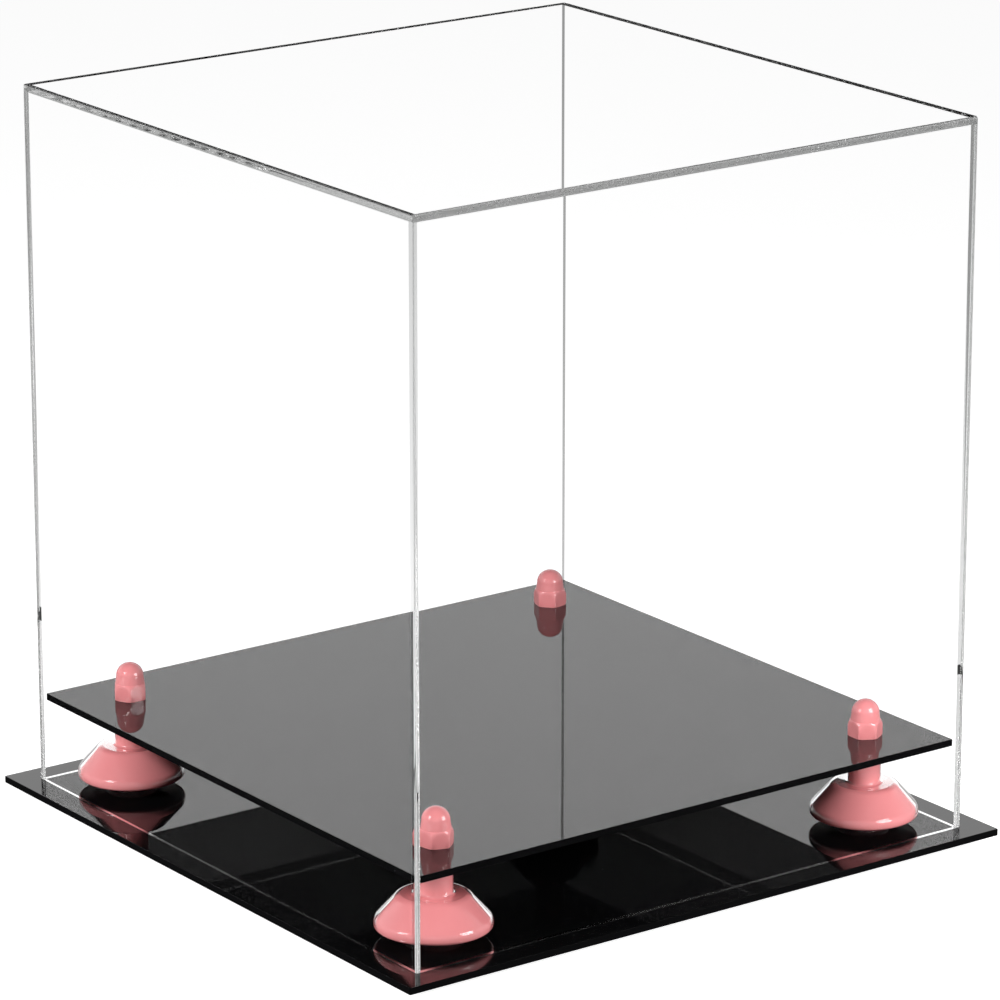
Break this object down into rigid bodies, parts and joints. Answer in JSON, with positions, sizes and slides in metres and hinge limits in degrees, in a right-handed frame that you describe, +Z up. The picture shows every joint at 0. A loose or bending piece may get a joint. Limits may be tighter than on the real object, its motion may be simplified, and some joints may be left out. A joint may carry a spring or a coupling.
{
  "type": "acrylic display case",
  "caption": "Clear box cover that lifts off a dark base plate, with a raised dark shelf carried on flared risers and held down by domed nuts.",
  "frame": {"origin": "on the ground, under the middle of the case, level with the undersides of the bumper feet", "axes": "+Z up, -Y towards the front panel, +X towards the right panel"},
  "size_m": [0.302, 0.302, 0.3144],
  "materials": {
    "clear_acrylic": "polished clear sheet",
    "black_acrylic": "polished black sheet",
    "pink_gloss": "smooth high gloss",
    "zinc_steel": "bright zinc plate",
    "clear_rubber": "satin clear bumper"
  },
  "bodies": {
    "stand": {"base_plate": "black_acrylic", "display_shelf": "black_acrylic", "riser_front_left": "pink_gloss", "riser_front_right": "pink_gloss", "riser_back_left": "pink_gloss", "riser_back_right": "pink_gloss", "domed_nut_front_left": "pink_gloss", "domed_nut_front_right": "pink_gloss", "domed_nut_back_left": "pink_gloss", "domed_nut_back_right": "pink_gloss", "riser_screw_front_left": "zinc_steel", "riser_screw_front_right": "zinc_steel", "riser_screw_back_left": "zinc_steel", "riser_screw_back_right": "zinc_steel", "washer_front_left": "zinc_steel", "washer_front_right": "zinc_steel", "washer_back_left": "zinc_steel", "washer_back_right": "zinc_steel", "bumper_foot_front_left": "clear_rubber", "bumper_foot_front_right": "clear_rubber", "bumper_foot_back_left": "clear_rubber", "bumper_foot_back_right": "clear_rubber"},
    "cover": {"cover_front_panel": "clear_acrylic", "cover_back_panel": "clear_acrylic", "cover_left_panel": "clear_acrylic", "cover_right_panel": "clear_acrylic", "cover_top_panel": "clear_acrylic"}
  },
  "joints": [
    {"name": "cover_lift", "type": "slide", "parent": "stand", "child": "cover", "axis": [0, 0, 1], "range_m": [0, 0.32]}
  ]
}
